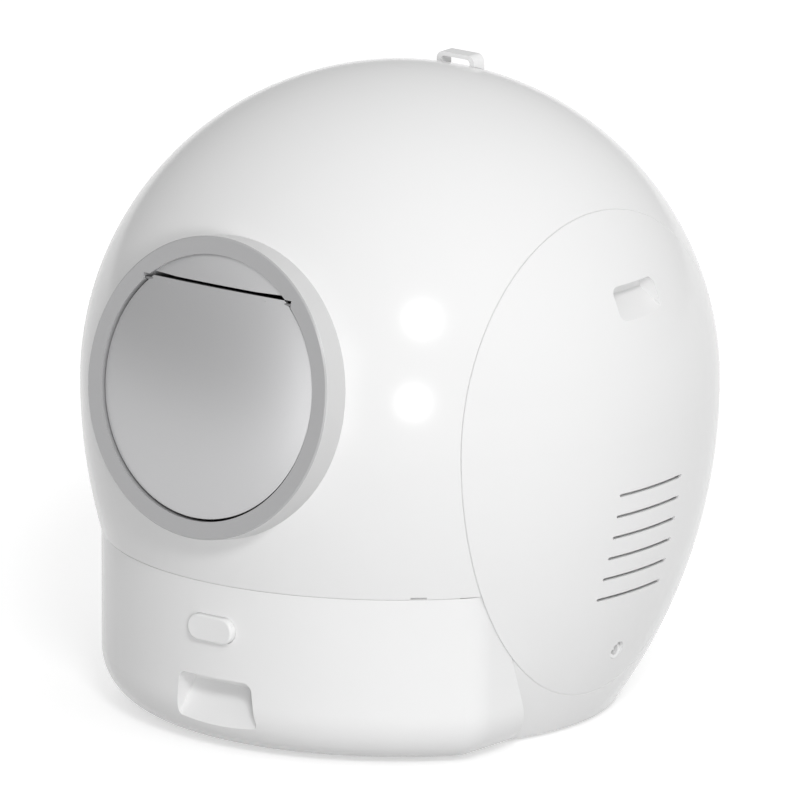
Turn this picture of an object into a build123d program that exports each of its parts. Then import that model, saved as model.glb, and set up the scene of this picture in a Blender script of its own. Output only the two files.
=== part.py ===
from build123d import *
import os
from math import asin, cos, degrees, pi, radians, sin, sqrt

# Self-cleaning litter box, in millimetres. The origin is the middle of the base's flat underside,
# and the feet stand a little lower. -Y is the front, +X is the drive side and +Z is up.

# Head: an egg standing on its small end
head_radius = 290.0
head_height = 293.0
lower_arc = 510.0
shell_wall = 3.5
side_plane = 220.0
seam_height = 157.0
parting_gap = 0.8
floor_margin = 10.0
seat_gap = 0.2
skin_depth = 1.0

# Chin, which is the front of the waste drawer
chin_radius = 271.0
chin_corner = 40.0
chin_foot = 46.0
chin_back_low = -83.0
chin_back_high = -106.0
chin_back_height = 67.0
chin_lip = 12.0

# Entry ring and its swing flap
ring_setback = 6.64
ring_rise = 47.2
ring_tilt = 10.0
ring_outer = 137.0
ring_inner = 120.5
ring_bevel = 1.6
spigot_wall = 4.0
spigot_depth = 14.0
tunnel_start = 20.0
flap_gap = 2.4
flap_bulge = 12.0
flap_thickness = 3.0
flap_recess = 3.0
flap_chord = 91.0
flap_pin_radius = 1.6
flap_pin_depth = 4.2
flap_pin_seat = 6.0
hinge_pocket_radius = 6.0
flap_knuckle = 3.2
flap_knuckle_length = 112.0
brow_gap = 3.0
brow_thickness = 5.0

# Drum
drum_radius = 200.0
drum_height = 335.0
drum_wall = 3.0
drum_flat = 165.0
drum_clearance = 3.5
mouth_radius = 116.0
tunnel_inner = 124.0
tunnel_wall = 3.0
port_corner = 14.0
port_angle = 64.0
port_arc = 26.0
port_half_width = 78.0
sieve_angle = 8.0
sieve_distance = 155.0
sieve_thickness = 3.0
sieve_slot = 7.0
sieve_bar = 4.5
sieve_margin = 12.0
liner_thickness = 2.2
liner_angle = -83.0
liner_distance = 126.0

# Trunnions and drive
trunnion_radius = 22.0
trunnion_wall = 6.0
trunnion_flange = 45.0
trunnion_flange_thickness = 4.0
running_clearance = 0.05
bush_wall = 5.0
bush_collar = 3.0
bush_stand = 2.0
boss_wall = 6.0
frame_inner = 209.0
frame_thickness = 4.0
frame_lift = 12.0
gear_module = 3.0
gear_teeth = 76
pinion_teeth = 14
gear_width = 12.0
gear_ring_depth = 12.0
gear_backlash = 0.35
mesh_angle = -60.0
shaft_radius = 4.0
shaft_reach = 8.0
shaft_hole_gap = 1.0
gearbox_size = (26.0, 62.0, 48.0)
gearbox_corner = 5.0
motor_offset = 4.0
motor_radius = 15.0
motor_length = 50.0

# Waste drawer
bin_top = 94.0
bin_bottom = 13.0
bin_wall = 2.5
bin_half_width = 165.0
bin_front = -200.0
bin_rear = 145.0
bin_draft = 16.0
bin_corner = 30.0
bin_flange = 12.0
bin_flange_thickness = 3.0
bag_ring_thickness = 3.0
bag_ring_width = 14.0
rail_height = 6.0
rail_side = 5.0
rib_spread = 70.0
rib_thickness = 4.0
rib_margin = 8.0
slide_gap = 0.3
inner_wall_x = 182.0
deck_height = 101.0
deck_thickness = 3.0
throat_half_width = 100.0
throat_half_depth = 75.0
throat_collar = 26.0
beam_setback = 45.0
shelf_front = -186.0
shelf_back = -158.0
wall_front = -165.0
wall_foot = 11.0
beam_half_width = 112.0

# Grip and button on the drawer front
grip_top_half = 41.0
grip_low_half = 46.0
grip_low = 23.0
grip_high = 69.0
grip_depth = 28.0
grip_lip = 6.0
grip_throat = 12.0
grip_corner = 9.0
button_height = 115.0
button_length = 51.0
button_width = 24.0
button_proud = 5.5
button_depth = 16.0
button_edge = 2.2
button_rim = 3.0
button_gap = 0.3
button_travel = 3.0
button_stem = 4.0
spring_gap = 0.6
spring_wall = 1.6
spring_length = 15.0
switch_depth = 9.0
switch_board = (40.0, 1.6, 22.0)
switch_body = 12.0
plunger_radius = 2.4
plunger_length = 1.2

# Side covers
peg_radius = 5.0
peg_boss = 2.0
peg_wall = 4.0
peg_shoulder = 3.0
peg_spots = ((-115.0, 100.0), (115.0, 100.0), (-125.0, -95.0), (125.0, -95.0))
vent_count = 6
vent_length = 93.0
vent_width = 3.0
vent_pitch = 20.0
vent_drop = 56.0
vent_centre = 7.0
vent_step = 1.0
hand_spot = (10.0, 114.0)
hand_length = 62.0
hand_width = 30.0
hand_depth = 24.0
hand_throat = 12.0
hand_corner = 8.0
inlet_spot = (11.0, -217.0)
inlet_radius = 8.0
inlet_depth = 3.0
inlet_length = 13.0
inlet_back = 3.0
inlet_bore = 5.0
inlet_pin = 1.1

# Feet, load cells and small parts
foot_radius = 14.0
foot_drop = 3.0
foot_pocket = 2.0
front_foot_inset = 40.2
front_foot_turn = 54.2
rear_foot_inset = 33.3
rear_foot_turn = 43.0
cell_size = (50.0, 13.0, 6.0)
loop_back = 88.0
loop_length = 43.0
loop_width = 15.0
loop_rise = 11.0
loop_strap = 4.0
loop_root = 8.0
loop_corner = 7.0
loop_inner_corner = 4.0
board_size = (1.6, 90.0, 60.0)
board_spot = (-86.0, -6.0)
board_stand = 4.0
board_margin = 5.0
relay_size = (10.5, 20.0, 20.0)
relay_spot = (-20.0, -5.0)
plug_size = (7.5, 26.0, 10.0)
plug_spot = (21.0, -19.0)
notch_length = 14.5
notch_height = 2.4
notch_angle = 42.0
screw_radius = 1.5
screw_gap = 0.1
screw_head = 2.9
screw_head_height = 2.2
screw_recess = 1.2
screw_circle = 36.0
screw_margin = 8.0
trunnion_screw = 7.5
motor_screw = 12.0
board_screw = 7.0

# Places worked out from the sizes above
tilt = radians(ring_tilt)
floor_radius = sqrt(lower_arc**2 - head_height**2) - (lower_arc - head_radius)
ring_forward = sqrt((head_radius - ring_setback) ** 2 - ring_rise**2)
ring_normal = Vector(0, -cos(tilt), sin(tilt))
ring_up = Vector(0, sin(tilt), cos(tilt))
ring_centre = Vector(0, -ring_forward, head_height + ring_rise)
head_centre = Vector(0, 0, head_height)
drum_centre = Vector(0, 0, drum_height)
flap_radius = ring_inner - flap_gap
flap_hinge = ring_centre + ring_up * (flap_chord - flap_knuckle) - ring_normal * flap_pin_depth
flap_ball = (flap_radius**2 + flap_bulge**2) / (2 * flap_bulge)
flap_edge_forward = flap_bulge - flap_recess - flap_chord**2 / (2 * flap_ball)
flap_pin_half = sqrt(ring_inner**2 - flap_chord**2) + 2 * flap_pin_seat
flap_edge_sweep = sqrt((flap_edge_forward + flap_pin_depth) ** 2 + flap_knuckle**2)
gear_radius = gear_module * gear_teeth / 2
pinion_radius = gear_module * pinion_teeth / 2
mesh = radians(mesh_angle)
pinion_offset = Vector(0, cos(mesh), sin(mesh)) * (gear_radius + pinion_radius)
pinion_centre = drum_centre + pinion_offset
frame_outer = frame_inner + frame_thickness
flange_face = drum_flat + seat_gap + trunnion_flange_thickness
beam_front = beam_setback - chin_radius
well_floor = button_depth - chin_radius
button_bottom = well_floor - button_travel - slide_gap
stem_end = beam_front - switch_depth - slide_gap
far = 3 * head_radius


def block(x0, x1, y0, y1, z0, z1):
    """Block between two corners."""
    middle = Pos((x0 + x1) / 2, (y0 + y1) / 2, (z0 + z1) / 2)
    return middle * Box(x1 - x0, y1 - y0, z1 - z0)


def rod(start, direction, radius, length):
    """Round bar that starts at a point and runs along a direction."""
    base = (Align.CENTER, Align.CENTER, Align.MIN)
    return Plane(origin=start, z_dir=direction) * Cylinder(radius, length, align=base)


def tube(start, direction, outer, inner, length):
    """Round tube that starts at a point and runs along a direction."""
    return rod(start, direction, outer, length) - rod(start, direction, inner, length)


def mirrored(shape):
    """The same piece on the other side of the middle plane."""
    return mirror(shape, Plane.YZ)


def drum_way(angle):
    """Direction in the drum's turning plane, from the rear and turning up."""
    return Vector(0, cos(radians(angle)), sin(radians(angle)))


def lower_radius(height, inset=0.0):
    """Radius of the egg below its widest level."""
    drop = head_height - height
    return sqrt((lower_arc - inset) ** 2 - drop**2) - (lower_arc - head_radius)


def head_form(inset, floor):
    """Solid egg, drawn in by an inset and cut level at a floor height."""
    upper = CenterArc((0, head_height), head_radius - inset, 0, 90)
    fall = degrees(asin((head_height - floor) / (lower_arc - inset)))
    lower = CenterArc((head_radius - lower_arc, head_height), lower_arc - inset, 0, -fall)
    foot = Line(lower @ 1, (0, floor))
    axis = Line((0, floor), upper @ 1)
    outline = make_face([*upper.edges(), *lower.edges(), *foot.edges(), *axis.edges()])
    return revolve(Plane.XZ * outline, Axis.Z, 360)


def chin_back(height):
    """How far back the drawer front reaches at a height."""
    share = height / chin_back_height
    return chin_back_low + (chin_back_high - chin_back_low) * share


def chin_zone(gap, inset=0.0):
    """Everything in front of the drawer front's slanted back edge."""
    low = -floor_margin
    high = seam_height + floor_margin
    outline = Polyline(
        (chin_back(low) + gap, low),
        (chin_back(high) + gap, high),
        (-far, high),
        (-far, low),
        close=True,
    )
    width = side_plane - parting_gap / 2 - inset
    return extrude(Plane.YZ * make_face(outline.edges()), width, both=True)


def chin_form(inset):
    """Solid chin with its round front, side corners and bottom edge."""
    radius = chin_radius - inset
    half = side_plane - parting_gap / 2 - inset
    low = inset
    high = seam_height - parting_gap / 2
    back = 0.0
    reach = -sqrt(radius**2 - half**2)
    front = ThreePointArc((-half, reach), (0, -radius), (half, reach))
    outline = front.edges() + Polyline((half, reach), (half, back), (-half, back), (-half, reach)).edges()
    solid = extrude(Pos(0, 0, low) * make_face(outline), high - low)
    upright = solid.edges().filter_by(Axis.Z).filter_by_position(Axis.Y, reach - 1, reach + 1)
    solid = fillet(upright, chin_corner - inset)
    rim = solid.edges().filter_by_position(Axis.Z, low - 0.1, low + 0.1)
    bottom = [edge for edge in rim if edge.center().Y < back - 1]
    return fillet(bottom, chin_foot - inset)


def gear_blank(teeth, centre, start, width, phase, slack):
    """Spur gear with straight-flanked teeth, on an axis along X."""
    pitch = gear_module * teeth / 2
    tip = pitch + gear_module - slack
    root = pitch - 1.25 * gear_module
    half_pitch = pi / teeth / 2
    slope = 0.36 * gear_module / pitch
    points = []
    for tooth in range(teeth):
        middle = phase + 2 * pi * tooth / teeth
        narrow = half_pitch - slope - slack / pitch / 2
        wide = half_pitch + 1.25 * slope - slack / pitch / 2
        for radius, turn in ((root, -wide), (tip, -narrow), (tip, narrow), (root, wide)):
            points.append((radius * cos(middle + turn), radius * sin(middle + turn)))
    outline = make_face(Polyline(*points, close=True).edges())
    plane = Plane(origin=(start, centre.Y, centre.Z), x_dir=(0, 1, 0), z_dir=(1, 0, 0))
    return extrude(plane * outline, width)


def shell_between(inset_out, inset_in, floor):
    """Egg-shaped skin between two insets."""
    return head_form(inset_out, floor) - head_form(inset_in, floor - 1)


def entry_bore(radius, start, length):
    """Round bar on the entry's tilted axis, measured back from the ring's face."""
    return rod(ring_centre - ring_normal * start, -ring_normal, radius, length)


def main_shell():
    """Dome between the side covers, with the entry hole and a pry notch at its foot."""
    half = side_plane - parting_gap / 2
    skin = shell_between(0, shell_wall, seam_height + parting_gap / 2)
    skin = skin & block(-half, half, -far, far, 0, far)
    skin = skin - entry_bore(ring_inner + spigot_wall + seat_gap, -far / 4, far / 2)
    notch = block(-notch_length / 2, notch_length / 2, -far, 0, 0, seam_height + notch_height)
    return skin - Rot(0, 0, notch_angle) * notch


def base_body():
    """Lower housing: rear tub, floor, drawer walls and the front beam."""
    half = side_plane - parting_gap / 2
    top = seam_height - parting_gap / 2
    floor_top = shell_wall
    tub = head_form(0, 0) - head_form(shell_wall, floor_top)
    tub = tub & block(-half, half, -far, far, 0, top)
    tub = tub - chin_zone(parting_gap, -parting_gap)
    tongue = floor_opening(parting_gap) & block(-far, far, -far, 0, 0, floor_top)
    tub = tub + tongue
    wall_far = inner_wall_x + bin_wall
    shelf_low = deck_height - deck_thickness
    front = block(inner_wall_x, wall_far, wall_front, 0, wall_foot, deck_height)
    rear = block(inner_wall_x, wall_far, -skin_depth, far, wall_foot, deck_height)
    foot = block(inner_wall_x, wall_far, chin_back_low + chin_lip, far, skin_depth, wall_foot + skin_depth)
    walls = front + ((rear + foot) & head_form(shell_wall / 2, 0))
    shelf = block(-wall_far, wall_far, shelf_front, shelf_back, shelf_low, deck_height)
    nose = block(-beam_half_width, beam_half_width, beam_front, shelf_back, shelf_low, deck_height)
    beam = block(-beam_half_width, beam_half_width, beam_front, beam_front + shell_wall, shelf_low, top)
    tub = tub + walls + mirrored(walls) + shelf + nose + beam
    for x, y in foot_spots():
        tub = tub - rod((x, y, 0), (0, 0, 1), foot_radius + seat_gap, foot_pocket)
    return tub


def waste_chute():
    """Deck under the drum with a collar that guides the waste into the drawer."""
    edge = frame_inner - skin_depth
    deck = head_form(shell_wall + seat_gap, deck_height)
    deck = deck & block(-edge, edge, -far, far, deck_height, deck_height + deck_thickness)
    deck = deck - block(-far, far, -far, shelf_front, 0, far)
    wall = shell_wall
    outer_x = throat_half_width + wall
    outer_y = throat_half_depth + wall
    collar = block(-outer_x, outer_x, -outer_y, outer_y, deck_height, deck_height + throat_collar)
    throat = block(-throat_half_width, throat_half_width, -throat_half_depth, throat_half_depth, 0, far)
    return deck + collar - throat


def floor_opening(gap):
    """Opening in the drawer front's underside, where the fixed floor lies."""
    half = side_plane - parting_gap / 2 - chin_foot - gap
    opening = block(-half, half, -far, 0, 0, shell_wall + 1)
    return opening & rod((0, 0, 0), (0, 0, 1), chin_radius - chin_foot - gap, far)


def drawer_front():
    """Chin-shaped front of the waste drawer with the grip scoop and button hole."""
    shell = (chin_form(0) & chin_zone(0)) - chin_form(shell_wall) - floor_opening(0)
    rib_low = bin_bottom + rib_margin
    rib_high = bin_top - rib_margin
    for side in (-rib_spread, rib_spread):
        low, high = side - rib_thickness / 2, side + rib_thickness / 2
        rib = block(low, high, -far, bin_front - slide_gap, rib_low, rib_high)
        shell = shell + (rib & chin_form(skin_depth))
    well = pill(button_length, button_width, button_rim, -far, far + well_floor + shell_wall)
    inner = (grip_scoop(shell_wall) + well) & chin_form(skin_depth)
    shell = shell + inner - grip_scoop(0)
    shell = shell - pill(button_length, button_width, button_gap, -far, far + well_floor)
    return shell - rod((0, -far, button_height), (0, 1, 0), button_stem + seat_gap, far)


def grip_scoop(grow):
    """Finger scoop: deep under its top edge and rising to the chin's face at its foot."""
    deep = grip_depth - chin_radius + grow
    lip = grip_lip - chin_radius + grow
    low = grip_low - grow
    high = grip_high + grow
    side = Polyline((-far, low), (lip, low), (deep, grip_high - grip_throat), (deep, high), (-far, high), close=True)
    wedge = extrude(Plane.YZ * make_face(side.edges()), grip_low_half + grow, both=True)
    top, foot = grip_top_half + grow, grip_low_half + grow
    front = Polyline((-foot, low), (foot, low), (top, high), (-top, high), close=True)
    mask = extrude(Plane.XZ * make_face(front.edges()), far)
    mask = fillet(mask.edges().filter_by(Axis.Y), grip_corner + grow)
    return wedge & mask


def pill(length, width, grow, start, depth):
    """Round-ended bar along Y at the button's height."""
    plane = Plane(origin=(0, start, button_height), x_dir=(1, 0, 0), z_dir=(0, -1, 0))
    outline = plane * SlotOverall(length + 2 * grow, width + 2 * grow)
    return extrude(outline, -depth)


def entry_ring():
    """Bezel with a flat tilted face, a fixed brow over the flap and a spigot into the shell."""
    depth = ring_outer
    body = entry_bore(ring_outer, 0, depth)
    body = chamfer(body.faces().sort_by(Axis((0, 0, 0), ring_normal))[-1].edges(), ring_bevel)
    body = body - head_form(-seat_gap / 2, seam_height)
    spigot = entry_bore(ring_inner + spigot_wall, 0, depth)
    spigot = spigot & head_form(-seat_gap / 2, seam_height) - head_form(spigot_depth, seam_height - 1)
    ring = body + spigot - entry_bore(ring_inner, -ring_bevel, depth + far)
    brow = flap_skin(ring_inner + 1, brow_thickness) & brow_line(brow_gap)
    side = Vector(far / 2, 0, 0)
    brow = brow - rod(flap_hinge - side, (1, 0, 0), flap_edge_sweep + slide_gap, far)
    pocket_half = flap_pin_half - flap_pin_seat
    pockets = rod(flap_hinge - Vector(pocket_half, 0, 0), (1, 0, 0), hinge_pocket_radius, 2 * pocket_half)
    half = flap_pin_half + slide_gap
    pin_hole = rod(flap_hinge - Vector(half, 0, 0), (1, 0, 0), flap_pin_radius + running_clearance, 2 * half)
    return ring + brow - pin_hole - pockets


def flap_skin(radius, thickness):
    """Bulged round panel whose rim lies just behind the ring's face."""
    apex = ring_centre + ring_normal * (flap_bulge - flap_recess)
    centre = apex - ring_normal * flap_ball
    ball = Pos(*centre) * (Sphere(flap_ball) - Sphere(flap_ball - thickness))
    return ball & entry_bore(radius, -flap_bulge, flap_bulge * 3)


def brow_line(gap):
    """Everything above the flap's straight top edge."""
    start = ring_centre + ring_up * (flap_chord + gap)
    plane = Plane(origin=start, x_dir=(1, 0, 0), z_dir=ring_up)
    return plane * Box(far, far, far, align=(Align.CENTER, Align.CENTER, Align.MIN))


def entry_tunnel():
    """Sleeve from the entry ring to just outside the drum."""
    outer = tunnel_inner + tunnel_wall
    sleeve = entry_bore(outer, tunnel_start, drum_radius) - entry_bore(tunnel_inner, 0, far)
    sleeve = sleeve & head_form(spigot_depth + seat_gap, seam_height)
    return sleeve - Pos(*drum_centre) * Sphere(drum_radius + drum_clearance)


def flap_door():
    """Swing flap with knuckles round its hinge pin."""
    panel = flap_skin(flap_radius, flap_thickness) - brow_line(0)
    half = flap_knuckle_length / 2
    start = flap_hinge - Vector(half, 0, 0)
    knuckle = rod(start, (1, 0, 0), flap_knuckle, 2 * half)
    web = Plane(origin=flap_hinge, x_dir=(1, 0, 0), z_dir=ring_normal)
    seat = (Align.CENTER, Align.MAX, Align.MIN)
    web = web * Box(2 * half, flap_knuckle, flap_pin_depth, align=seat)
    bore_start = flap_hinge - Vector(far / 2, 0, 0)
    return panel + knuckle + web - rod(bore_start, (1, 0, 0), flap_pin_radius + running_clearance, far)


def flap_pin():
    """Steel pin on which the flap swings, held in the ring at both ends."""
    start = flap_hinge - Vector(flap_pin_half, 0, 0)
    return rod(start, (1, 0, 0), flap_pin_radius, 2 * flap_pin_half)


def drum_cavity(inset):
    """Ball with flat ends, drawn in by an inset."""
    half = drum_flat - inset
    return Pos(*drum_centre) * (Sphere(drum_radius - inset) & Box(2 * half, far, far))


def drum_skin():
    """Whole drum wall with its mouth and waste port."""
    skin = drum_cavity(0) - drum_cavity(drum_wall)
    skin = skin - (entry_bore(mouth_radius, 0, far) & block(-far, far, -far, 0, 0, far))
    reach = Plane(origin=drum_centre, x_dir=(1, 0, 0), z_dir=drum_way(port_angle))
    width = 2 * port_half_width
    length = 2 * drum_radius * sin(radians(port_arc / 2))
    port = extrude(reach * RectangleRounded(width, length, port_corner), far)
    screws = screw_bores(trunnion_screw_spots(), far)
    return skin - port - screws - mirrored(screws)


def drum_half(side):
    """Front or rear half of the drum."""
    low, high = sorted((0.0, side * far))
    return drum_skin() & block(-far, far, low, high, 0, far)


def litter_liner():
    """Liner over the part of the drum that holds the litter."""
    outer = drum_cavity(drum_wall + seat_gap)
    inner = drum_cavity(drum_wall + seat_gap + liner_thickness)
    way = drum_way(liner_angle)
    start = drum_centre + way * liner_distance
    plane = Plane(origin=start, x_dir=(1, 0, 0), z_dir=way)
    zone = plane * Box(far, far, far, align=(Align.CENTER, Align.CENTER, Align.MIN))
    return (outer - inner) & zone


def sieve_screen():
    """Slotted disc that lets the litter through and holds the clumps."""
    way = drum_way(sieve_angle)
    start = drum_centre + way * sieve_distance
    plane = Plane(origin=start, x_dir=(1, 0, 0), z_dir=way)
    radius = sqrt((drum_radius - drum_wall) ** 2 - sieve_distance**2) + sieve_thickness
    disc = plane * Cylinder(radius, sieve_thickness, align=(Align.CENTER, Align.CENTER, Align.MIN))
    disc = disc & drum_cavity(drum_wall + slide_gap)
    pitch = sieve_slot + sieve_bar
    open_radius = radius - sieve_margin
    count = int(open_radius / pitch)
    outline = Sketch()
    for step in range(-count, count + 1):
        middle = step * pitch
        half = sqrt(max(open_radius**2 - middle**2, 0))
        if half > 2 * sieve_slot:
            outline += Pos(middle, 0) * Rectangle(sieve_slot, 2 * half)
    return disc - extrude(plane * outline, far / 10, both=True)


def trunnion():
    """Flanged stub on the drum's right end."""
    start = drum_centre + Vector(drum_flat + seat_gap, 0, 0)
    flange = rod(start, (1, 0, 0), trunnion_flange, trunnion_flange_thickness)
    length = frame_outer + bush_collar - drum_flat
    stub = tube(start, (1, 0, 0), trunnion_radius, trunnion_radius - trunnion_wall, length)
    return flange + stub - screw_bores(trunnion_screw_spots(), far)


def trunnion_bush():
    """Collared plain bearing in the right side frame."""
    start = drum_centre + Vector(frame_inner - bush_collar, 0, 0)
    bore = trunnion_radius + running_clearance
    sleeve = rod(start, (1, 0, 0), bore + bush_wall, frame_thickness + bush_collar + bush_stand)
    collar = rod(start, (1, 0, 0), bore + 2 * bush_wall, bush_collar - seat_gap)
    return sleeve + collar - rod(start, (1, 0, 0), bore, far)


def ring_gear():
    """Toothed ring on the drum's right end."""
    blank = gear_blank(gear_teeth, drum_centre, drum_flat + seat_gap, gear_width, mesh, gear_backlash)
    inner = gear_radius - 1.25 * gear_module - gear_ring_depth
    return blank - rod(drum_centre, (1, 0, 0), inner, far)


def drive_pinion():
    """Pinion with its shaft through the side frame."""
    phase = mesh + pi + pi / pinion_teeth
    blank = gear_blank(pinion_teeth, pinion_centre, drum_flat + seat_gap, gear_width, phase, gear_backlash)
    start = pinion_centre + Vector(drum_flat + gear_width, 0, 0)
    hub = rod(start, (1, 0, 0), pinion_radius / 2, frame_inner - bush_collar - start.X)
    shaft = rod(start, (1, 0, 0), shaft_radius, frame_outer + shaft_reach - start.X)
    return blank + hub + shaft


def side_frame():
    """Inner wall on the right that carries the drum's bearing and the side cover."""
    floor = shell_wall + frame_lift
    plate = head_form(shell_wall + seat_gap, floor)
    plate = plate & block(frame_inner, frame_outer, -far, far, 0, far)
    boss_start = drum_centre + Vector(frame_inner + skin_depth, 0, 0)
    boss = rod(boss_start, (1, 0, 0), trunnion_radius + bush_wall + boss_wall, frame_thickness + skin_depth)
    plate = plate + boss
    for y, z in peg_spots:
        spot = Vector(frame_inner + skin_depth, y, head_height + z)
        plate = plate + rod(spot, (1, 0, 0), peg_radius + peg_wall, frame_thickness + peg_boss - skin_depth)
        plate = plate - rod((0, y, head_height + z), (1, 0, 0), peg_radius + seat_gap, far)
    bore = trunnion_radius + running_clearance + bush_wall + seat_gap / 2
    plate = plate - rod(drum_centre, (1, 0, 0), bore, far)
    corner = sqrt(chin_radius**2 - side_plane**2) - chin_corner
    return plate - block(0, far, -far, -corner + 2 * chin_lip, 0, seam_height + parting_gap)


def drive_frame():
    """Right side frame with the hole for the pinion's shaft."""
    frame = side_frame() - rod(pinion_centre, (1, 0, 0), shaft_radius + shaft_hole_gap, far)
    return frame - screw_bores(motor_screw_spots() + board_screw_spots(), far)


def gear_motor():
    """Flat gearbox with a round motor standing on it."""
    depth, width, height = gearbox_size
    x = frame_outer + seat_gap
    y, z = pinion_centre.Y, pinion_centre.Z
    gearbox = block(x, x + depth, y - width / 2, y + width / 2, z - height / 2, z + height / 2)
    gearbox = fillet(gearbox.edges().filter_by(Axis.X), gearbox_corner)
    motor_start = (x + depth / 2 + motor_offset, y, z - height / 2 + skin_depth)
    motor = rod(motor_start, (0, 0, -1), motor_radius, motor_length)
    bore = rod(pinion_centre, (1, 0, 0), shaft_radius + running_clearance, frame_outer + shaft_reach + skin_depth)
    screws = screw_bores(motor_screw_spots(), motor_screw + skin_depth)
    return gearbox + motor - bore - screws


def side_cover():
    """Right cover: the egg's cap with a hand hold, vents and locating pegs."""
    edge = side_plane + parting_gap / 2
    cap = block(edge, far, -far, far, 0, far)
    skin = head_form(0, 0) & cap
    hollow = head_form(shell_wall, 0) & block(0, far, -far, far, 0, far)
    cover = skin - hollow
    for y, z in peg_spots:
        peg = rod((frame_inner + skin_depth, y, head_height + z), (1, 0, 0), peg_radius, far)
        shoulder_start = (frame_outer + peg_boss + seat_gap, y, head_height + z)
        shoulder = rod(shoulder_start, (1, 0, 0), peg_radius + peg_shoulder, far)
        cover = cover + ((peg + shoulder) & head_form(skin_depth, 0))
    well = hand_hold(shell_wall) & head_form(skin_depth, 0)
    cover = cover + well - hand_hold(0)
    for step in range(vent_count):
        shift = vent_centre - vent_step * step
        level = head_height - vent_drop - vent_pitch * step
        plane = Plane(origin=(edge, shift, level), x_dir=(0, 1, 0), z_dir=(1, 0, 0))
        cover = cover - extrude(plane * SlotOverall(vent_length, vent_width), far)
    return cover


def hand_hold(grow):
    """Finger scoop in the side cover: deep under its top edge and shallow at its foot."""
    y = hand_spot[0]
    low = head_height + hand_spot[1] - hand_width / 2 - grow
    high = head_height + hand_spot[1] + hand_width / 2 + grow
    level = hand_spot[1] - hand_width / 2
    lip = sqrt(head_radius**2 - level**2) - grow
    deep = sqrt(head_radius**2 - hand_spot[1] ** 2) - hand_depth - grow
    side = Polyline((far, low), (lip, low), (deep, high - hand_throat - grow), (deep, high), (far, high), close=True)
    half = hand_length / 2 + grow
    wedge = extrude(Plane.XZ.offset(-y) * make_face(side.edges()), half, both=True)
    mask = block(0, far, y - half, y + half, low, high)
    return wedge & fillet(mask.edges().filter_by(Axis.X), hand_corner + grow)


def drive_cover():
    """Right side cover with the hole for the power inlet."""
    y, z = inlet_spot
    return side_cover() - rod((side_plane, y, head_height + z), (1, 0, 0), inlet_radius + seat_gap, far)


def power_inlet():
    """Round power socket sunk in the right cover, with its centre pin."""
    y, z = inlet_spot[0], head_height + inlet_spot[1]
    surface = sqrt(lower_radius(z) ** 2 - y**2) - inlet_depth
    start = Vector(surface - inlet_length, y, z)
    body = rod(start, (1, 0, 0), inlet_radius, inlet_length)
    socket = rod(start + Vector(inlet_back, 0, 0), (1, 0, 0), inlet_bore, far)
    return body - socket + rod(start, (1, 0, 0), inlet_pin, inlet_length - inlet_pin)


def waste_bin():
    """Tapered tub that takes the waste."""
    outer = bin_loft(0)
    flange_low = bin_top - bin_flange_thickness
    flange = bin_outline(bin_flange, flange_low, bin_flange_thickness)
    return outer + flange - bin_loft(bin_wall)


def bin_outline(grow, low, thickness):
    """Rounded plate as wide as the tub's top."""
    width = 2 * (bin_half_width + grow)
    length = bin_rear - bin_front + grow
    middle = (bin_rear + bin_front + grow) / 2
    corner = bin_corner + grow
    return extrude(Pos(0, middle, low) * RectangleRounded(width, length, corner), thickness)


def bin_loft(inset):
    """Solid tapered tub, drawn in by a wall."""
    middle = (bin_rear + bin_front) / 2
    length = bin_rear - bin_front
    low = bin_bottom + inset
    high = bin_top + (1 if inset else 0)
    top = Pos(0, middle, high) * RectangleRounded(2 * (bin_half_width - inset), length - 2 * inset, bin_corner)
    narrow = 2 * (bin_half_width - bin_draft - inset)
    short = length - 2 * bin_draft - 2 * inset
    bottom = Pos(0, middle, low) * RectangleRounded(narrow, short, bin_corner)
    return loft([bottom, top], ruled=True)


def bag_ring():
    """Frame that holds a waste bag on the tub's rim."""
    outer = bin_outline(bin_flange - 2, bin_top, bag_ring_thickness)
    return outer - bin_outline(-bag_ring_width + bin_flange, bin_top - 1, bag_ring_thickness + 2)


def drawer_rail():
    """Rail under the tub's right flange."""
    high = bin_top - bin_flange_thickness - slide_gap
    inner = bin_half_width + rail_side
    return block(inner, inner_wall_x - seat_gap, wall_front, bin_rear - rail_height, high - rail_height, high)


def clean_button():
    """Pill-shaped button with a spring pocket and a stem that reaches the switch."""
    face = -chin_radius - button_proud
    head = pill(button_length, button_width, 0, face, button_bottom - face)
    head = fillet(head.faces().sort_by(Axis.Y)[0].edges(), button_edge)
    pocket_radius = button_stem + 2 * spring_gap + spring_wall
    seat = well_floor - spring_length - slide_gap
    pocket = rod((0, seat, button_height), (0, 1, 0), pocket_radius, far)
    stem = rod((0, seat - skin_depth, button_height), (0, 1, 0), button_stem, stem_end - seat + skin_depth)
    return head - pocket + stem


def button_spring():
    """Envelope of the coil spring round the button's stem."""
    inner = button_stem + spring_gap
    start = (0, well_floor - spring_length, button_height)
    return tube(start, (0, 1, 0), inner + spring_wall, inner, spring_length - slide_gap)


def button_switch():
    """Switch on a small board, fixed to the beam behind the button."""
    width, depth, height = switch_board
    board_face = beam_front - depth
    half = switch_body / 2
    body_face = stem_end + slide_gap + button_travel + plunger_length
    board = block(-width / 2, width / 2, board_face, beam_front, button_height - height / 2, button_height + height / 2)
    body = block(-half, half, body_face, beam_front, button_height - half, button_height + half)
    plunger = rod((0, stem_end + slide_gap + button_travel, button_height), (0, 1, 0), plunger_radius, switch_depth / 2)
    return board + body + plunger


def board_middle():
    """Centre of the circuit board's inner face."""
    return Vector(frame_outer + board_stand, board_spot[0], head_height + board_spot[1])


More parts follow.
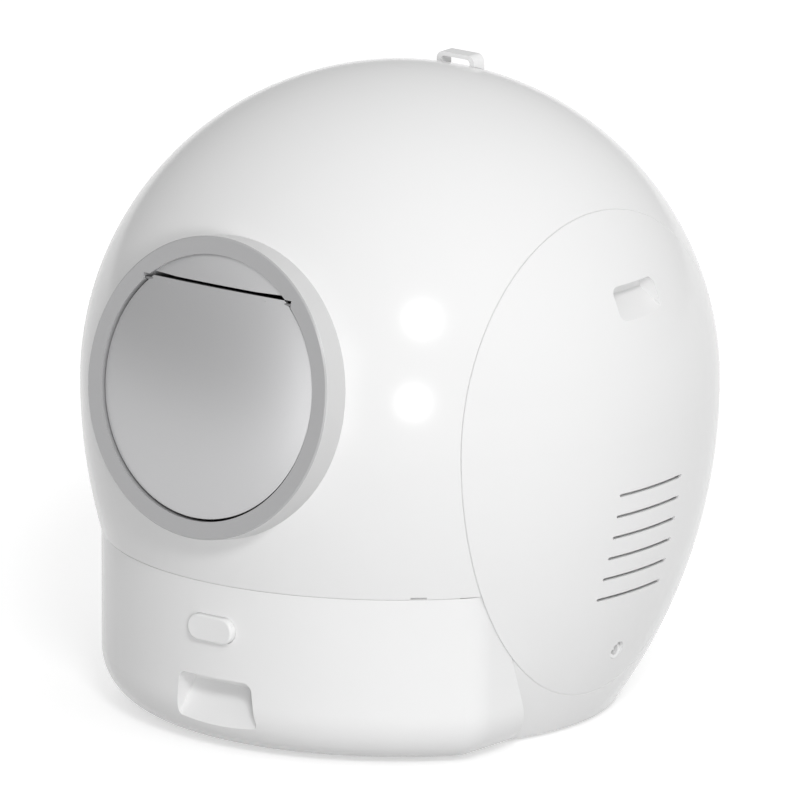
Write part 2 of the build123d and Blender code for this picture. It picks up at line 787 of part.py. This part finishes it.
def control_board():
    """Circuit board on stand-offs outside the right side frame, with a relay and a plug."""
    depth, width, height = board_size
    x, y, z = board_middle()
    board = block(x, x + depth, y - width / 2, y + width / 2, z - height / 2, z + height / 2)
    for size, spot in ((relay_size, relay_spot), (plug_size, plug_spot)):
        middle = Pos(x + depth + size[0] / 2 - skin_depth / 2, y + spot[0], z + spot[1])
        board = board + middle * Box(size[0] + skin_depth, size[1], size[2])
    for spot in board_screw_spots():
        board = board + rod((frame_outer, spot.Y, spot.Z), (1, 0, 0), 2 * screw_radius, board_stand + skin_depth)
    return board - screw_bores(board_screw_spots(), far)


def carry_loop():
    """Small strap loop on top, behind the middle."""
    top = head_height + sqrt(head_radius**2 - loop_back**2) + loop_rise
    low = top - loop_rise - loop_root
    half = loop_length / 2
    outer = block(-half, half, loop_back - loop_width / 2, loop_back + loop_width / 2, low, top)
    outer = fillet(outer.edges().filter_by(Axis.Y).filter_by_position(Axis.Z, top - 1, top + 1), loop_corner)
    hole_half = half - loop_strap - 1
    hole = block(-hole_half, hole_half, -far, far, low - loop_root, top - loop_strap)
    upper = hole.edges().filter_by(Axis.Y).filter_by_position(Axis.Z, top - loop_strap - 1, top)
    hole = fillet(upper, loop_inner_corner)
    return outer - hole - head_form(-seat_gap / 2, seam_height)


def screw_bores(spots, length):
    """Clearance holes along X for screws whose heads seat at the given spots."""
    bores = [rod(spot, (1, 0, 0), screw_radius + screw_gap, length) for spot in spots]
    return Part() + bores


def screws(spots, way, length):
    """Pan-head screws with a round driver recess, heads seated at the given spots."""
    found = []
    for spot in spots:
        screw = rod(spot, (way, 0, 0), screw_radius, length) + rod(spot, (-way, 0, 0), screw_head, screw_head_height)
        top = spot - Vector(way * (screw_head_height - screw_recess), 0, 0)
        found.append(screw - rod(top, (-way, 0, 0), screw_recess, far))
    return found


def trunnion_screw_spots():
    """Head seats of the screws through the right trunnion's flange, four around."""
    turns = [radians(45 + 90 * step) for step in range(4)]
    ring = [Vector(0, cos(turn), sin(turn)) * screw_circle for turn in turns]
    return [drum_centre + Vector(drum_flat / 2, 0, 0) + spoke for spoke in ring]


def corner_spots(x, y, z, width, height, margin):
    """Four spots in from the corners of a plate that faces X."""
    sides = (-1, 1)
    half_width, half_height = width / 2 - margin, height / 2 - margin
    return [Vector(x, y + a * half_width, z + b * half_height) for a in sides for b in sides]


def motor_screw_spots():
    """Head seats of the gearbox screws, on the inside of the right frame."""
    y, z = pinion_centre.Y, pinion_centre.Z
    return corner_spots(frame_inner, y, z, gearbox_size[1], gearbox_size[2], screw_margin)


def board_screw_spots():
    """Head seats of the board screws, on the inside of the right frame."""
    x, y, z = board_middle()
    return corner_spots(frame_inner, y, z, board_size[1], board_size[2], board_margin)


def trunnion_screws():
    """Screws that hold both trunnions to the drum."""
    inward = [Vector(flange_face, spot.Y, spot.Z) for spot in trunnion_screw_spots()]
    right = screws(inward, -1, trunnion_screw)
    return right + [mirrored(screw) for screw in right]


def foot_spots():
    """Centres of the four feet."""
    front = chin_radius - chin_foot - front_foot_inset
    rear = floor_radius - rear_foot_inset
    front_x, front_y = front * cos(radians(front_foot_turn)), front * sin(radians(front_foot_turn))
    rear_x, rear_y = rear * cos(radians(rear_foot_turn)), rear * sin(radians(rear_foot_turn))
    return [(-front_x, -front_y), (front_x, -front_y), (-rear_x, rear_y), (rear_x, rear_y)]


def foot_pads():
    """Four rubber feet in the floor's pockets."""
    height = foot_drop + foot_pocket - seat_gap
    return [rod((x, y, -foot_drop), (0, 0, 1), foot_radius, height) for x, y in foot_spots()]


def load_cells():
    """Four weighing beams on the floor over the feet."""
    length, width, height = cell_size
    low = shell_wall
    return [
        block(x - length / 2, x + length / 2, y - width / 2, y + width / 2, low, low + height)
        for x, y in foot_spots()
    ]


def both(name, shape):
    """A right-hand piece and its left-hand twin."""
    return {name + "_right": shape, name + "_left": mirrored(shape)}


def all_pieces():
    """Every piece by name."""
    pieces = {
        "main_shell": main_shell(),
        "base_body": base_body(),
        "waste_chute": waste_chute(),
        "entry_ring": entry_ring(),
        "entry_tunnel": entry_tunnel(),
        "flap_door": flap_door(),
        "flap_hinge_pin": flap_pin(),
        "drum_front": drum_half(-1),
        "drum_rear": drum_half(1),
        "litter_liner": litter_liner(),
        "sieve_screen": sieve_screen(),
        "ring_gear": ring_gear(),
        "drive_pinion": drive_pinion(),
        "gear_motor": gear_motor(),
        "side_frame_right": drive_frame(),
        "side_frame_left": mirrored(side_frame()),
        "side_cover_right": drive_cover(),
        "side_cover_left": mirrored(side_cover()),
        "power_inlet": power_inlet(),
        "drawer_front": drawer_front(),
        "waste_bin": waste_bin(),
        "bag_ring": bag_ring(),
        "clean_button": clean_button(),
        "button_spring": button_spring(),
        "button_switch": button_switch(),
        "control_board": control_board(),
        "carry_loop": carry_loop(),
        "foot_pads": Compound(foot_pads()),
        "load_cells": Compound(load_cells()),
        "trunnion_screws": Compound(trunnion_screws()),
        "motor_screws": Compound(screws(motor_screw_spots(), 1, motor_screw)),
        "board_screws": Compound(screws(board_screw_spots(), 1, frame_thickness + board_screw)),
    }
    pieces.update(both("trunnion", trunnion()))
    pieces.update(both("trunnion_bush", trunnion_bush()))
    pieces.update(both("drawer_rail", drawer_rail()))
    return pieces


os.makedirs("parts", exist_ok=True)
for node, piece in all_pieces().items():
    export_step(piece, f"parts/{node}.step")
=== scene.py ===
from math import asin, cos, hypot, radians, sin, sqrt

import bmesh
import bpy
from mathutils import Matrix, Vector


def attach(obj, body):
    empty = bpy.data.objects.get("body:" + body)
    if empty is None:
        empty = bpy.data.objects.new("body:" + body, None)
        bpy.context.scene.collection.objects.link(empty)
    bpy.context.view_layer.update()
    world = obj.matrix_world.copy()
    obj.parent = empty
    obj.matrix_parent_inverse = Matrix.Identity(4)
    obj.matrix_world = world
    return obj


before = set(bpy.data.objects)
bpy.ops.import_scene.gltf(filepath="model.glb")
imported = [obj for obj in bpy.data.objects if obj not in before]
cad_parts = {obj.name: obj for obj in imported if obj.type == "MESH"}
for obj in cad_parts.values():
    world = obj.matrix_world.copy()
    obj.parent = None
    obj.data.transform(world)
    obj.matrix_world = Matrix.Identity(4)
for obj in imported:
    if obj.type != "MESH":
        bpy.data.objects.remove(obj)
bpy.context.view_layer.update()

# Places on the litter box, in metres
HEAD_CENTRE = Vector((0, 0, 0.293))
FLOOR_LEVEL = -0.003
RING_NORMAL = Vector((0, -cos(radians(10)), sin(radians(10))))
RING_CENTRE = Vector((0, -0.279403, 0.3402))
RING_BEVEL = 0.0014
RING_WALL = 0.1355
BROW_REACH = 0.1196
LACQUER_METAL = 0.5
HEAD_RADIUS = 0.290
LOWER_ARC = 0.510
SEAM_HEIGHT = 0.157
SIDE_PLANE = 0.220

# T-shaped lips that close the seams from inside: across the seam and in from the skin
LIP_SECTION = (
    (-0.006, 0.0038), (-0.0003, 0.0038), (-0.0003, 0.0009), (0.0003, 0.0009),
    (0.0003, 0.0038), (0.006, 0.0038), (0.006, 0.0052), (-0.006, 0.0052),
)
LIP_HALF = 0.2080
LIP_STEPS = 96
COVER_LIP_START = radians(-112)
COVER_LIP_END = radians(221)

# Webs at the chin's back
CHIN_FOOT = 0.046
CHIN_HALF = 0.2196
CHIN_WALL = 0.0034
CHIN_GAP = 0.0008
CHIN_BACK = 0.083
CHIN_LEAN = 23 / 67
WEB_WALL = 0.0025
WEB_LOW = 0.0035
WEB_HIGH = 0.0740
WEB_STEPS = 24

# Baffles behind the vent slots
VENT_LOW = 0.125
VENT_HIGH = 0.250
VENT_FRONT = -0.050
VENT_REAR = 0.062
VENT_INSET = 0.0065
VENT_WALL = 0.0012
VENT_STEPS = 14

# Patterns: scales in waves per metre, depths in metres
FLOW_SCALE = 9.0
RING_GRAIN_SCALE = 1000.0
RING_GRAIN_DEPTH = 0.00003
GRAIN_STRENGTH = 0.25
FLAKE_SCALE = 1400.0
FLAKE_DEPTH = 0.00002
FLAKE_STRENGTH = 0.2
LINE_DEPTH = 0.00005
LINE_STRENGTH = 0.3
SMOOTH_SHARE = 0.85
ROUGH_SHARE = 1.15

# The studio
FLOOR_REACH = 30.0
FLOOR_LIFT = 0.56
BRIGHT_SIDE = (0.46, 0.55, 0.58)
ROOM_DARK = 0.18
ROOM_BRIGHT = 0.76
SOFTBOX_DISTANCE = 3.0
CARD_DISTANCE = 2.0

# Steps that find a point of the skin
HALVINGS = 40

# The photograph's view
VIEW_TURN = radians(38.5)
VIEW_RISE = radians(14.5)
VIEW_DISTANCE = 24.0
VIEW_WIDTH = 0.725
SENSOR_WIDTH = 36.0
HEAD_ABOVE_MIDDLE = 0.0199


def toward_camera(turn, rise):
    """Direction from the box to the camera."""
    return Vector((sin(turn) * cos(rise), -cos(turn) * cos(rise), sin(rise)))


def linear(code):
    """Linear colour of an sRGB hex value."""
    parts = [int(code[i:i + 2], 16) / 255 for i in (1, 3, 5)]
    return [p / 12.92 if p <= 0.04045 else ((p + 0.055) / 1.055) ** 2.4 for p in parts] + [1.0]


def add(tree, kind, links=None, **settings):
    """Adds a node with its settings and its links, which are {input: output socket}."""
    node = tree.nodes.new(kind)
    for name, value in settings.items():
        setattr(node, name, value)
    for name, value in (links or {}).items():
        if isinstance(value, bpy.types.NodeSocket):
            tree.links.new(value, node.inputs[name])
        else:
            node.inputs[name].default_value = value
    return node


def start_material(name):
    """Node material with its node tree emptied."""
    material = bpy.data.materials.new(name)
    material.use_nodes = True
    tree = material.node_tree
    tree.nodes.clear()
    return material, tree


def moulded_plastic(name, colour, shade, roughness, ior, grain, depth, gloss=0.5):
    """Injection-moulded plastic: even colour with faint flow marks and the tool's fine grain."""
    material, tree = start_material(name)
    place = add(tree, "ShaderNodeTexCoord").outputs["Object"]
    flow = add(tree, "ShaderNodeTexNoise", {"Vector": place, "Scale": FLOW_SCALE, "Detail": 2.0})
    colours = add(tree, "ShaderNodeMix", {"Factor": flow.outputs["Fac"]}, data_type="RGBA")
    colours.inputs["A"].default_value = linear(colour)
    colours.inputs["B"].default_value = linear(shade)
    texture = add(tree, "ShaderNodeTexNoise", {"Vector": place, "Scale": 1.0 / grain, "Detail": 3.0})
    rough = add(tree, "ShaderNodeMapRange", {"Value": flow.outputs["Fac"]})
    rough.inputs["To Min"].default_value = roughness * SMOOTH_SHARE
    rough.inputs["To Max"].default_value = roughness * ROUGH_SHARE
    raised = {"Height": texture.outputs["Fac"], "Distance": depth, "Strength": GRAIN_STRENGTH}
    bump = add(tree, "ShaderNodeBump", raised)
    surface = add(tree, "ShaderNodeBsdfPrincipled", {"IOR": ior, "Specular IOR Level": gloss})
    tree.links.new(bump.outputs["Normal"], surface.inputs["Normal"])
    tree.links.new(colours.outputs["Result"], surface.inputs["Base Color"])
    tree.links.new(rough.outputs["Result"], surface.inputs["Roughness"])
    add(tree, "ShaderNodeOutputMaterial", {"Surface": surface.outputs["BSDF"]})
    return material


def two_shot_ring(name, face, wall, silver, roughness):
    """Two-shot moulding: a matt grey face, a pale side wall and the flap's silver on the brow."""
    material, tree = start_material(name)
    place = add(tree, "ShaderNodeTexCoord").outputs["Object"]
    off = add(tree, "ShaderNodeVectorMath", {0: place, 1: RING_CENTRE}, operation="SUBTRACT").outputs[0]
    rise = add(tree, "ShaderNodeVectorMath", {0: off, 1: RING_NORMAL}, operation="DOT_PRODUCT")
    spread = add(tree, "ShaderNodeVectorMath", {0: off}, operation="LENGTH").outputs["Value"]
    behind = add(tree, "ShaderNodeMath", {0: rise.outputs["Value"], 1: -RING_BEVEL}, operation="LESS_THAN")
    outside = add(tree, "ShaderNodeMath", {0: spread, 1: RING_WALL}, operation="GREATER_THAN")
    both = {0: behind.outputs[0], 1: outside.outputs[0]}
    wall_part = add(tree, "ShaderNodeMath", both, operation="MULTIPLY")
    brow_part = add(tree, "ShaderNodeMath", {0: spread, 1: BROW_REACH}, operation="LESS_THAN").outputs[0]
    body = add(tree, "ShaderNodeMix", {"Factor": wall_part.outputs[0]}, data_type="RGBA")
    body.inputs["A"].default_value = linear(face)
    body.inputs["B"].default_value = linear(wall)
    colours = add(tree, "ShaderNodeMix", {"Factor": brow_part}, data_type="RGBA")
    tree.links.new(body.outputs["Result"], colours.inputs["A"])
    colours.inputs["B"].default_value = linear(silver)
    flakes = add(tree, "ShaderNodeMath", {0: brow_part, 1: LACQUER_METAL}, operation="MULTIPLY")
    texture = add(tree, "ShaderNodeTexNoise", {"Vector": place, "Scale": RING_GRAIN_SCALE, "Detail": 3.0})
    raised = {"Height": texture.outputs["Fac"], "Distance": RING_GRAIN_DEPTH, "Strength": GRAIN_STRENGTH}
    bump = add(tree, "ShaderNodeBump", raised)
    surface = add(tree, "ShaderNodeBsdfPrincipled", {"Roughness": roughness, "IOR": 1.54})
    tree.links.new(flakes.outputs[0], surface.inputs["Metallic"])
    tree.links.new(colours.outputs["Result"], surface.inputs["Base Color"])
    tree.links.new(bump.outputs["Normal"], surface.inputs["Normal"])
    add(tree, "ShaderNodeOutputMaterial", {"Surface": surface.outputs["BSDF"]})
    return material


def silver_lacquer(name, colour, shade, roughness):
    """Silver lacquer on plastic: fine metal flakes that carry a broad satin reflection."""
    material, tree = start_material(name)
    place = add(tree, "ShaderNodeTexCoord").outputs["Object"]
    flakes = add(tree, "ShaderNodeTexNoise", {"Vector": place, "Scale": FLAKE_SCALE, "Detail": 3.0})
    colours = add(tree, "ShaderNodeMix", {"Factor": flakes.outputs["Fac"]}, data_type="RGBA")
    colours.inputs["A"].default_value = linear(colour)
    colours.inputs["B"].default_value = linear(shade)
    raised = {"Height": flakes.outputs["Fac"], "Distance": FLAKE_DEPTH, "Strength": FLAKE_STRENGTH}
    bump = add(tree, "ShaderNodeBump", raised)
    gloss = {"Metallic": LACQUER_METAL, "Roughness": roughness, "IOR": 1.5}
    surface = add(tree, "ShaderNodeBsdfPrincipled", gloss)
    tree.links.new(colours.outputs["Result"], surface.inputs["Base Color"])
    tree.links.new(bump.outputs["Normal"], surface.inputs["Normal"])
    add(tree, "ShaderNodeOutputMaterial", {"Surface": surface.outputs["BSDF"]})
    return material


def drawn_metal(name, colour, shade, roughness, grain):
    """Bright metal with the fine lines that drawing or plating leaves."""
    material, tree = start_material(name)
    place = add(tree, "ShaderNodeTexCoord").outputs["Object"]
    lines = add(tree, "ShaderNodeTexNoise", {"Vector": place, "Scale": 1.0 / grain, "Detail": 4.0})
    colours = add(tree, "ShaderNodeMix", {"Factor": lines.outputs["Fac"]}, data_type="RGBA")
    colours.inputs["A"].default_value = linear(colour)
    colours.inputs["B"].default_value = linear(shade)
    raised = {"Height": lines.outputs["Fac"], "Distance": LINE_DEPTH, "Strength": LINE_STRENGTH}
    bump = add(tree, "ShaderNodeBump", raised)
    surface = add(tree, "ShaderNodeBsdfPrincipled", {"Metallic": 1.0, "Roughness": roughness})
    tree.links.new(colours.outputs["Result"], surface.inputs["Base Color"])
    tree.links.new(bump.outputs["Normal"], surface.inputs["Normal"])
    add(tree, "ShaderNodeOutputMaterial", {"Surface": surface.outputs["BSDF"]})
    return material


RING_ABS = two_shot_ring("two_shot_ring_abs", "#b1b1b2", "#d6d6d6", "#c6c6c7", 0.34)
WHITE_ABS = moulded_plastic("white_moulded_abs", "#eeeeee", "#ececec", 0.17, 1.54, 0.0012, 0.00002, 0.18)
GREY_ABS = moulded_plastic("grey_satin_abs", "#b4b4b5", "#b1b1b2", 0.34, 1.54, 0.0010, 0.00003)
FLAP_SILVER = silver_lacquer("silver_lacquered_abs", "#c6c6c7", "#c1c1c2", 0.31)
FRAME_ABS = moulded_plastic("plain_frame_abs", "#d9d9d8", "#d2d2d1", 0.5, 1.54, 0.0008, 0.00005)
DRUM_ABS = moulded_plastic("drum_grey_abs", "#c4c5c6", "#bdbebf", 0.45, 1.54, 0.0008, 0.00005)
LINER_RUBBER = moulded_plastic("liner_silicone_rubber", "#8c8d8f", "#858688", 0.7, 1.41, 0.0009, 0.00008)
SIEVE_ABS = moulded_plastic("sieve_dark_abs", "#97989a", "#8f9092", 0.5, 1.54, 0.0008, 0.00005)
ACETAL = moulded_plastic("natural_acetal", "#ebe9e2", "#e4e2da", 0.4, 1.48, 0.0007, 0.00003)
BIN_PP = moulded_plastic("bin_polypropylene", "#c3c5c7", "#bcbec0", 0.42, 1.49, 0.0012, 0.00006)
BOARD = moulded_plastic("board_glass_epoxy", "#2c6b3e", "#286138", 0.35, 1.55, 0.0006, 0.00002)
PAD_RUBBER = moulded_plastic("pad_black_rubber", "#3a3a3b", "#323233", 0.75, 1.52, 0.0008, 0.00006)
PIN_STEEL = drawn_metal("ground_pin_steel", "#8e8e8f", "#868687", 0.35, 0.0005)
STEEL = drawn_metal("drawn_steel", "#d0d0cf", "#c4c4c3", 0.3, 0.0005)
ZINC = drawn_metal("zinc_plated_steel", "#c2c3c2", "#b2b3b3", 0.4, 0.002)
ALUMINIUM = drawn_metal("milled_aluminium", "#dadbdc", "#cfd0d1", 0.35, 0.0006)

FINISHES = {
    "main_shell": WHITE_ABS, "base_body": WHITE_ABS, "side_cover_right": WHITE_ABS,
    "side_cover_left": WHITE_ABS, "drawer_front": WHITE_ABS, "carry_loop": WHITE_ABS,
    "clean_button": WHITE_ABS, "entry_ring": RING_ABS, "flap_door": FLAP_SILVER,
    "entry_tunnel": GREY_ABS, "flap_hinge_pin": PIN_STEEL, "side_frame_right": FRAME_ABS,
    "side_frame_left": FRAME_ABS, "waste_chute": FRAME_ABS, "drum_front": DRUM_ABS,
    "drum_rear": DRUM_ABS, "litter_liner": LINER_RUBBER, "sieve_screen": SIEVE_ABS,
    "ring_gear": ACETAL, "drive_pinion": ACETAL, "trunnion_right": ACETAL,
    "trunnion_left": ACETAL, "trunnion_bush_right": ACETAL, "trunnion_bush_left": ACETAL,
    "gear_motor": ZINC, "control_board": BOARD, "button_switch": BOARD,
    "power_inlet": WHITE_ABS, "foot_pads": PAD_RUBBER, "load_cells": ALUMINIUM,
    "drawer_rail_right": ACETAL, "drawer_rail_left": ACETAL, "waste_bin": BIN_PP,
    "bag_ring": BIN_PP, "button_spring": STEEL, "trunnion_screws": STEEL,
    "motor_screws": STEEL, "board_screws": STEEL,
}


def finish_nodes():
    """Gives each CAD node its material."""
    for name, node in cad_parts.items():
        node.data.materials.clear()
        node.data.materials.append(FINISHES[name])


def egg_reach(height, inset):
    """Radius of the egg's skin at a height, drawn in by an inset."""
    rise = height - HEAD_CENTRE.z
    if rise > 0:
        return sqrt(max((HEAD_RADIUS - inset) ** 2 - rise**2, 0))
    return sqrt((LOWER_ARC - inset) ** 2 - rise**2) - (LOWER_ARC - HEAD_RADIUS)


def cover_point(side, across, turn, inset):
    """Point of the egg's skin in a plane across X, at a turn round the head's centre."""
    low, high = 0.0, HEAD_RADIUS
    for _ in range(HALVINGS):
        middle = (low + high) / 2
        height = HEAD_CENTRE.z + middle * sin(turn)
        if hypot(across, middle * cos(turn)) < egg_reach(height, inset):
            low = middle
        else:
            high = middle
    return (side * across, low * cos(turn), HEAD_CENTRE.z + low * sin(turn))


def lip(name, sections, body="housing"):
    """Strip or thin wall through a row of sections, with a cap at both ends."""
    points = [corner for section in sections for corner in section]
    count, size = len(sections), len(sections[0])
    faces = [tuple(range(size)), tuple(range(size * (count - 1), size * count))]
    for step in range(count - 1):
        here, after = size * step, size * (step + 1)
        for corner in range(size):
            other = (corner + 1) % size
            faces.append((here + corner, here + other, after + other, after + corner))
    mesh = bpy.data.meshes.new(name)
    mesh.from_pydata(points, [], faces)
    form = bmesh.new()
    form.from_mesh(mesh)
    bmesh.ops.recalc_face_normals(form, faces=form.faces)
    form.to_mesh(mesh)
    form.free()
    mesh.shade_smooth()
    mesh.set_sharp_from_angle(angle=radians(30))
    mesh.materials.append(WHITE_ABS)
    piece = bpy.data.objects.new(name, mesh)
    bpy.context.scene.collection.objects.link(piece)
    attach(piece, body)


def dome_lips():
    """Lips inside the dome's lower edge that close the seam to the base and the chin."""
    limit = asin(LIP_HALF / egg_reach(SEAM_HEIGHT, 0))
    for name, facing in (("front_dome_lip", -1), ("rear_dome_lip", 1)):
        sections = []
        for step in range(LIP_STEPS + 1):
            turn = limit * (2 * step / LIP_STEPS - 1)
            section = []
            for height, inset in LIP_SECTION:
                reach = egg_reach(SEAM_HEIGHT + height, inset)
                section.append((reach * sin(turn), facing * reach * cos(turn), SEAM_HEIGHT + height))
            sections.append(section)
        lip(name, sections)


def cover_lips():
    """Lips inside the side covers' edges, where they meet the dome and the base."""
    for name, side in (("right_cover_lip", 1), ("left_cover_lip", -1)):
        sections = []
        for step in range(LIP_STEPS + 1):
            turn = COVER_LIP_START + (COVER_LIP_END - COVER_LIP_START) * step / LIP_STEPS
            corners = [(SIDE_PLANE + along, inset) for along, inset in LIP_SECTION]
            sections.append([cover_point(side, across, turn, inset) for across, inset in corners])
        lip(name, sections)


def chin_webs():
    """Walls that close the chin's back where it stands out beyond the tub."""
    for name, side in (("chin_web_right", 1), ("chin_web_left", -1)):
        sections = []
        for step in range(WEB_STEPS + 1):
            height = WEB_LOW + (WEB_HIGH - WEB_LOW) * step / WEB_STEPS
            back = -CHIN_BACK - CHIN_LEAN * height
            rise = max(CHIN_FOOT - height, 0)
            near = sqrt(egg_reach(height, 0) ** 2 - back**2) + CHIN_GAP
            far = CHIN_HALF - CHIN_WALL - (CHIN_FOOT - sqrt(CHIN_FOOT**2 - rise**2))
            corners = ((near, back), (far, back), (far, back - WEB_WALL), (near, back - WEB_WALL))
            sections.append([(side * x, y, height) for x, y in corners])
        lip(name, sections, "drawer")


def vent_baffles():
    """Baffles behind the vent slots that keep litter dust off the drive."""
    heights = [VENT_LOW + (VENT_HIGH - VENT_LOW) * step / VENT_STEPS for step in range(VENT_STEPS + 1)]
    for name, side in (("vent_baffle_right", 1), ("vent_baffle_left", -1)):
        sections = []
        for step in range(VENT_STEPS + 1):
            across = VENT_FRONT + (VENT_REAR - VENT_FRONT) * step / VENT_STEPS
            rows = [(z, VENT_INSET) for z in heights]
            rows += [(z, VENT_INSET + VENT_WALL) for z in heights[::-1]]
            reaches = [(z, egg_reach(z, inset)) for z, inset in rows]
            sections.append([(side * sqrt(reach**2 - across**2), across, z) for z, reach in reaches])
        lip(name, sections)


def backdrop():
    """Pale floor that reaches past the picture."""
    mesh = bpy.data.meshes.new("studio_floor")
    reach = FLOOR_REACH
    corners = [(-reach, -reach), (reach, -reach), (reach, reach), (-reach, reach)]
    mesh.from_pydata([(x, y, FLOOR_LEVEL) for x, y in corners], [], [(0, 1, 2, 3)])
    floor = bpy.data.objects.new("studio_floor", mesh)
    bpy.context.scene.collection.objects.link(floor)
    material, tree = start_material("white_paper_sweep")
    paper = add(tree, "ShaderNodeBsdfDiffuse", {"Color": linear("#d2d2d2")})
    lift = add(tree, "ShaderNodeEmission", {"Color": linear("#ffffff"), "Strength": FLOOR_LIFT})
    path = add(tree, "ShaderNodeLightPath").outputs
    rays = {0: path["Is Glossy Ray"], 1: path["Is Transmission Ray"]}
    mirrored = add(tree, "ShaderNodeMath", rays, operation="MAXIMUM")
    rays = {0: path["Is Camera Ray"], 1: mirrored.outputs[0]}
    seen = add(tree, "ShaderNodeMath", rays, operation="MAXIMUM")
    both = add(tree, "ShaderNodeAddShader", {0: paper.outputs[0], 1: lift.outputs[0]})
    mix = add(tree, "ShaderNodeMixShader", {"Fac": seen.outputs[0], 1: paper.outputs[0], 2: both.outputs[0]})
    add(tree, "ShaderNodeOutputMaterial", {"Surface": mix.outputs[0]})
    mesh.materials.append(material)


def studio_world():
    """Soft room light, brighter from above and from the drive side."""
    world = bpy.data.worlds.new("studio_room")
    bpy.context.scene.world = world
    world.use_nodes = True
    tree = world.node_tree
    tree.nodes.clear()
    way = add(tree, "ShaderNodeTexCoord").outputs["Generated"]
    side = Vector(BRIGHT_SIDE).normalized()
    share = add(tree, "ShaderNodeVectorMath", {0: way, 1: side}, operation="DOT_PRODUCT")
    level = add(tree, "ShaderNodeMapRange", {"Value": share.outputs["Value"], "From Min": -1.0})
    level.inputs["To Min"].default_value = ROOM_DARK
    level.inputs["To Max"].default_value = ROOM_BRIGHT
    light = add(tree, "ShaderNodeBackground", {"Strength": level.outputs["Result"]})
    light.inputs["Color"].default_value = linear("#ffffff")
    add(tree, "ShaderNodeOutputWorld", {"Surface": light.outputs[0]})


def softbox(name, aside, above, ahead, energy, spread):
    """Round softbox far off, placed by its direction as the camera sees it."""
    right = Vector((cos(VIEW_TURN), sin(VIEW_TURN), 0))
    back = toward_camera(VIEW_TURN, VIEW_RISE)
    way = (right * aside + back.cross(right) * above + back * ahead).normalized()
    lamp = bpy.data.lights.new(name, "SUN")
    lamp.energy = energy
    lamp.angle = radians(spread)
    holder = bpy.data.objects.new(name, lamp)
    holder.rotation_euler = way.to_track_quat("Z", "Y").to_euler()
    holder.location = HEAD_CENTRE + way * SOFTBOX_DISTANCE
    bpy.context.scene.collection.objects.link(holder)


def card(name, way, width, height, energy):
    """White card near the entry that the satin flap mirrors."""
    lamp = bpy.data.lights.new(name, "AREA")
    lamp.shape = "RECTANGLE"
    lamp.size = width
    lamp.size_y = height
    lamp.energy = energy
    holder = bpy.data.objects.new(name, lamp)
    way = Vector(way).normalized()
    holder.location = RING_CENTRE + way * CARD_DISTANCE
    holder.rotation_euler = way.to_track_quat("Z", "Y").to_euler()
    holder.visible_diffuse = False
    holder.visible_camera = False
    bpy.context.scene.collection.objects.link(holder)


def photo_camera():
    """Long lens at the photograph's angle."""
    back = toward_camera(VIEW_TURN, VIEW_RISE)
    right = Vector((cos(VIEW_TURN), sin(VIEW_TURN), 0))
    target = HEAD_CENTRE - back.cross(right) * HEAD_ABOVE_MIDDLE
    lens = bpy.data.cameras.new("photo_view")
    lens.sensor_width = SENSOR_WIDTH
    lens.lens = SENSOR_WIDTH * VIEW_DISTANCE / VIEW_WIDTH
    lens.clip_end = 100.0
    camera = bpy.data.objects.new("photo_view", lens)
    camera.location = target + back * VIEW_DISTANCE
    camera.rotation_euler = back.to_track_quat("Z", "Y").to_euler()
    bpy.context.scene.collection.objects.link(camera)
    bpy.context.scene.camera = camera


finish_nodes()
dome_lips()
cover_lips()
chin_webs()
vent_baffles()
backdrop()
studio_world()
softbox("key_softbox", 0.135, 0.355, 0.925, 0.97, 12)
softbox("fill_softbox", 0.08, -0.15, 0.95, 0.85, 12)
card("front_card", (0.12, -0.98, 0.12), 1.5, 1.6, 16.0)
card("upper_card", (-0.50, -0.62, 0.62), 1.7, 0.9, 4.5)
photo_camera()
bpy.context.scene.view_settings.view_transform = "Standard"
